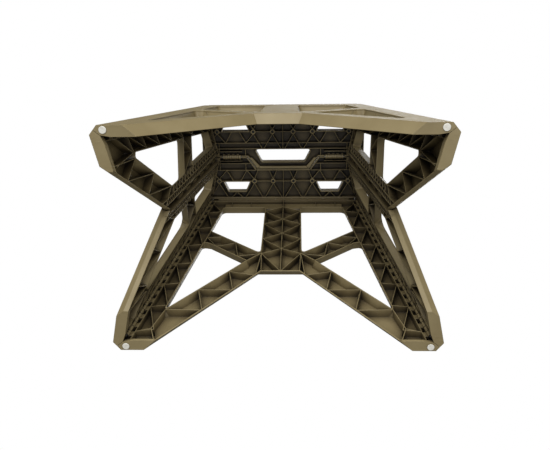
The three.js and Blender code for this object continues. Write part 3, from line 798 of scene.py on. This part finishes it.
def seat_half(front):
    """One seat half, built at the rear."""
    panel = Panel()
    corner_cut = 4.8
    split = 0.4
    end = [(seat_half_length, split), (seat_half_length, seat_edge - corner_cut),
           (seat_half_length - corner_cut, seat_edge)]
    tongue = [(46.5, -22.3), (62, split)] if front else [(47.4, 23.2), (63.35, split)]
    right = plane_points([*tongue, *end])
    outline = right + [Vector((-point.x, point.y)) for point in reversed(right)]
    window = [(59, boss_y + 1), (67, 64), (98, 64), (106, boss_y + 1)]
    holes = [rounded(anticlockwise(plane_points([(side * x, y) for x, y in window])), 1.6)
             for side in (1, -1)]
    if front:
        slot = [(49.2, 12.8), (37.4, -9.6), (-37.4, -9.6), (-49.2, 12.8)]
        slot = rounded(anticlockwise(plane_points(slot)), 4.0)
        holes.append(slot)
        panel.frame(seat_place, slot, 3.0, seat_floor, 2.4, 1.8)
    bosses = [Vector((side * x, boss_y)) for side in (1, -1) for x in boss_x]
    bores = [[centre + Vector(point) for point in circle(boss_bore, boss_sides)] for centre in bosses]
    panel.plate(seat_place, outline, holes + bores, seat_floor, seat_depth, edge=0.9)
    for hole in holes[:2]:
        panel.frame(seat_place, hole, 0, seat_floor, 2.0, 1.5)
    for bore in bores:
        panel.frame(seat_place, bore, 0, seat_floor, 2.2, 1.9)

    # Edge walls. Along the middle of the seat they are cut short, to clear the middle hinge's knuckles.
    wall = 1.8
    hinge_low, hinge_high = seat_hinge_from - 0.8, seat_hinge_to + 0.8
    ring = inset(anticlockwise(outline), wall / 2)
    for start, finish in zip(ring, ring[1:] + ring[:1]):
        if max(abs(start.y), abs(finish.y)) < 3 and abs(start.x - finish.x) > 60:
            sign = 1 if start.x + finish.x > 0 else -1
            near, far = sorted((abs(start.x), abs(finish.x)))
            for a, b, low in ((near, hinge_low, 0), (hinge_low, hinge_high, 4.9), (hinge_high, far, 0)):
                panel.rib(seat_place, (sign * a, start.y), (sign * b, start.y),
                          low, seat_floor, wall + 0.3, wall)
        else:
            panel.path(seat_place, [start, finish], 0, seat_floor, wall + 0.3, wall)

    if front:
        # Raised rim around the end of the tongue.
        ridge, ridge_across = 4.8, 4.8 * 1.2
        root_x, root_y, tip_x, tip_y = 60.3, -1.8, 46.5, -22.2
        for side in (1, -1):
            panel.block(seat_place, [(side * root_x, root_y), (side * tip_x, tip_y),
                                     (side * (tip_x - ridge_across), tip_y + ridge),
                                     (side * (root_x - ridge_across), root_y)], 0.0, seat_floor, edge=0.8)
        panel.block(seat_place, [(-tip_x, tip_y), (tip_x, tip_y), (tip_x - ridge_across, tip_y + ridge),
                                 (ridge_across - tip_x, tip_y + ridge)], 0.0, seat_floor, edge=0.8)

    # Ribs, heavier towards the outer edge.
    edge = seat_edge - 1.0
    line, step = rib_line, rib_step
    for side in (1, -1):
        def place(x, y, depth, side=side):
            return seat_place(side * x, y, depth)

        outer = [((18.1, 49), (2.5, edge)), ((18.1, 49), (33, edge)), ((51.5, 49), (37, edge)),
                 ((51.5, 49), (68, edge)), ((83, 65), (73, edge)), ((83, 65), (93, edge)),
                 ((114.6, 49), (99, edge)), ((114.6, 49), (130, edge))]
        row = [((0, boss_y), (15.5, boss_y)), ((20.8, boss_y), (49, boss_y)), ((54, boss_y), (60, boss_y)),
               ((105, boss_y), (112, boss_y)), ((117.2, boss_y), (140, boss_y))]
        panel.ribs(place, outer + row, rib_low, seat_floor, 1.6, 1.0)
        band = [((51.5, 41.5), (64.5, line)), ((76, boss_y), (64.5, line)), ((89, boss_y), (100, line)),
                ((114.6, 41.5), (100, line)), ((114.6, 41.5), (128, line)), ((128, line), (140, 40))]
        if front:
            band += [((18.1, 41), (3.2, step)), ((18.1, 41), (33, step)), ((51.5, 41), (36, step)),
                     ((0, line), (140, line)), ((0, step), (140, step)), ((66, step), (66, 2)),
                     ((72, 9.4), (140, 9.4)), ((112, 2), (112, line))]
        else:
            band += [((18.1, 41), (11.5, line)), ((18.1, 41), (25, line)), ((51.5, 41), (44.5, line)),
                     ((0, line), (140, line)), ((58, 12.4), (140, 12.4)), ((66, 12.4), (66, line)),
                     ((72, 7.6), (140, 7.6)), ((112, 2), (112, line))]
        panel.ribs(place, band, rib_low, seat_floor, 1.5, 0.95)
    middle = [((0, line), (0, edge)), ((0, step), (0, line))]
    panel.ribs(seat_place, middle if front else middle[:1], rib_low, seat_floor, 1.5, 0.95)

    # A thin lip that closes the gap over the leg panel, wider past the ends of the hinge.
    lip_low, lip_half = underside - 0.5, leg_hinge_half_length + 0.8
    panel.block(sideways, [(-lip_half, lip_low), (lip_half, lip_low), (lip_half, seat_top - 1.2),
                           (-lip_half, seat_top - 1.2)], 75.8, 77.7, edge=0.2)
    fill_from, fill_to = leg_hinge_half_length - 0.1, leg_hinge_half_length + 8.2
    for side in (1, -1):
        panel.block(sideways, [(side * fill_from, lip_low + 0.1), (side * fill_to, lip_low + 0.1),
                               (side * fill_to, underside + 5), (side * fill_from, underside + 5)],
                    75.8, 84.0, edge=0.1)

    # Knuckles of the leg hinge and of the middle hinge.
    def hinge_place(x, y, depth):
        return Vector((x, y, leg_hinge.z - leg_hinge_radius + 0.3 + depth))

    for a, b in spans(leg_hinge_spans, -leg_hinge_half_length, leg_hinge_half_length, 1):
        a, b = a + knuckle_gap, b - knuckle_gap
        panel.block(hinge_place, [(a, seat_edge - 2), (b, seat_edge - 2),
                                  (b, leg_hinge.y), (a, leg_hinge.y)],
                    0.0, 2 * leg_hinge_radius - 0.6, edge=0.5)
        panel.barrel(Vector((a, leg_hinge.y, leg_hinge.z)), Vector((b, leg_hinge.y, leg_hinge.z)),
                     leg_hinge_radius, sides=32, bore=leg_rod_bore)
    for side in (1, -1):
        for a, b in spans(seat_hinge_spans, seat_hinge_from, seat_hinge_to, 1 if front else 0):
            a, b = a + 0.25, b - 0.25
            panel.barrel(Vector((side * a, 0, seat_hinge.z)), Vector((side * b, 0, seat_hinge.z)),
                         seat_hinge_radius, sides=24, edge=0.3, bore=1.7)
            low, high = seat_hinge.z + 1.8, seat_hinge.z + 9
            panel.block(sideways, [(side * a, low), (side * b, low), (side * b, high), (side * a, high)],
                        0.5, 5.0, edge=0.3)

    # Grip dots on the top, staggered row by row and left out near holes and edges.
    pitch = 11.0
    dot = [(1.9, -0.4), (1.9, 0.0), (1.5, 0.38), (0.6, 0.55)]
    for i in range(-12, 13):
        for j in range(1, 7):
            x, y = i * pitch + (pitch / 2 if j % 2 else 0), 2 + j * pitch
            near_hole = abs(abs(x) - 82.5) < 30 and 40 < y < 70
            near_boss = any((Vector((x, y)) - boss).length < 9 for boss in bosses)
            near_slot = y < 22 and abs(x) < 60
            if abs(x) > 134 or y > 70 or near_hole or near_boss or near_slot:
                continue
            panel.turn((x, y, seat_top), dot, 12)
    return panel


# ---------------------------------------------------------------- assembly
def moulding(panel, node, body, x=1, y=1):
    """A panel that stands for the CAD node of the same name."""
    panel.object(f"{node}_moulding", body, "olive_plastic", olive, [node], x, y)


for depth, y in (("rear", 1), ("front", -1)):
    moulding(leg_panel(), f"leg_panel_{depth}", f"leg_{depth}", y=y)
    moulding(seat_half(depth == "front"), f"seat_half_{depth}", f"seat_{depth}", y=y)
    for side, x in (("right", 1), ("left", -1)):
        moulding(end_half(depth == "rear"), f"end_half_{side}_{depth}", f"end_{side}_{depth}", x, y)


def node_centre(name):
    low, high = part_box(name)
    return (low + high) / 2 / MM


# Foot pads and grip studs.
pad_profile = [(3.6, 0.05), (3.9, 0.0), (4.3, 0.1), (pad_radius, 0.45), (pad_radius, 0.9),
               (2.4, 0.95), (2.4, 9.0)]
stud_profile = [(1.8, 2.0), (1.8, 15.3), (5.0, 15.3), (5.0, 15.6), (4.6, 16.1), (3.6, 16.4), (1.8, 16.5)]
for depth in ("front", "rear"):
    for side in ("left", "right"):
        name = f"foot_pad_{side}_{depth}"
        disc = Panel()
        disc.turn((*node_centre(name).xy, 0.0), pad_profile, 40)
        disc.object(name + "_disc", f"leg_{depth}", "pad_plastic", pad_white, [name])
    names = [f"grip_stud_{depth}_{i}" for i in range(1, 7)]
    studs = Panel()
    for name in names:
        studs.turn((*node_centre(name).xy, underside), stud_profile, 28)
    studs.object(f"grip_studs_{depth}", f"seat_{depth}", "rubber", rubber, names)

# Of the CAD nodes only the rods and pins still show.
for name, node in frame["nodes"].items():
    node.data.materials.clear()
    node.data.materials.append(steel if "rod" in name or "pin" in name else olive)


# ---------------------------------------------------------------- camera
camera_data = bpy.data.cameras.new("camera")
camera_data.sensor_width = 36.0
camera_data.lens = 45.82
camera_data.clip_end = 50.0
camera = bpy.data.objects.new("camera", camera_data)
camera_right = Vector((0.99924, 0.01703, 0.03520)).normalized()
camera_back = Vector((0.03899, -0.36502, -0.93019)).normalized()
camera_up = camera_back.cross(camera_right).normalized()
camera_place = Matrix((camera_right, camera_up, camera_back)).transposed().to_4x4()
camera_place.translation = Vector((0.03358, -0.33791, -0.79468))
camera.matrix_world = camera_place
scene.collection.objects.link(camera)
scene.camera = camera

# ---------------------------------------------------------------- light
scene.view_settings.view_transform = "Standard"
world = bpy.data.worlds.new("studio")
scene.world = world
world.use_nodes = True
world_nodes, world_links = world.node_tree.nodes, world.node_tree.links
world_nodes.clear()


def background(colour, strength):
    node = world_nodes.new("ShaderNodeBackground")
    node.inputs["Color"].default_value = (*colour, 1)
    node.inputs["Strength"].default_value = strength
    return node.outputs["Background"]


backdrop = world_nodes.new("ShaderNodeMixShader")
world_links.new(world_nodes.new("ShaderNodeLightPath").outputs["Is Camera Ray"], backdrop.inputs["Fac"])
world_links.new(background((1.0, 0.98, 0.95), 0.12), backdrop.inputs[1])
world_links.new(background((1.0, 1.0, 1.0), 1.0), backdrop.inputs[2])
world_links.new(backdrop.outputs["Shader"], world_nodes.new("ShaderNodeOutputWorld").inputs["Surface"])


def area_light(name, place, aim, size, power):
    data = bpy.data.lights.new(name, "AREA")
    data.shape = "SQUARE"
    data.size = size
    data.energy = power
    light = bpy.data.objects.new(name, data)
    back = (place - aim).normalized()
    light.matrix_world = Matrix.Translation(place) @ back.to_track_quat("Z", "Y").to_matrix().to_4x4()
    scene.collection.objects.link(light)


middle = Vector((0, 0, 0.2))
for name, offset, size, power in (("key", (-0.25, -2.2, -0.9), 2.4, 68),
                                  ("fill", (0.5, -0.9, -2.4), 1.4, 22),
                                  ("top", (0.4, 0.6, 2.6), 1.8, 45)):
    area_light(name, middle + Vector(offset), middle, size, power)


def paper_floor(height, size):
    mesh = bpy.data.meshes.new("floor")
    corners = [(-size, -size), (size, -size), (size, size), (-size, size)]
    mesh.from_pydata([(x, y, height) for x, y in corners], [], [(0, 1, 2, 3)])
    material, _, _, shader = new_material("floor_paper")
    shader.inputs["Base Color"].default_value = (0.86, 0.86, 0.85, 1)
    shader.inputs["Roughness"].default_value = 0.9
    mesh.materials.append(material)
    piece = bpy.data.objects.new("floor", mesh)
    scene.collection.objects.link(piece)


# The camera looks up from below the stool, so the floor lies below the camera.
paper_floor(height=-3.0, size=6.0)
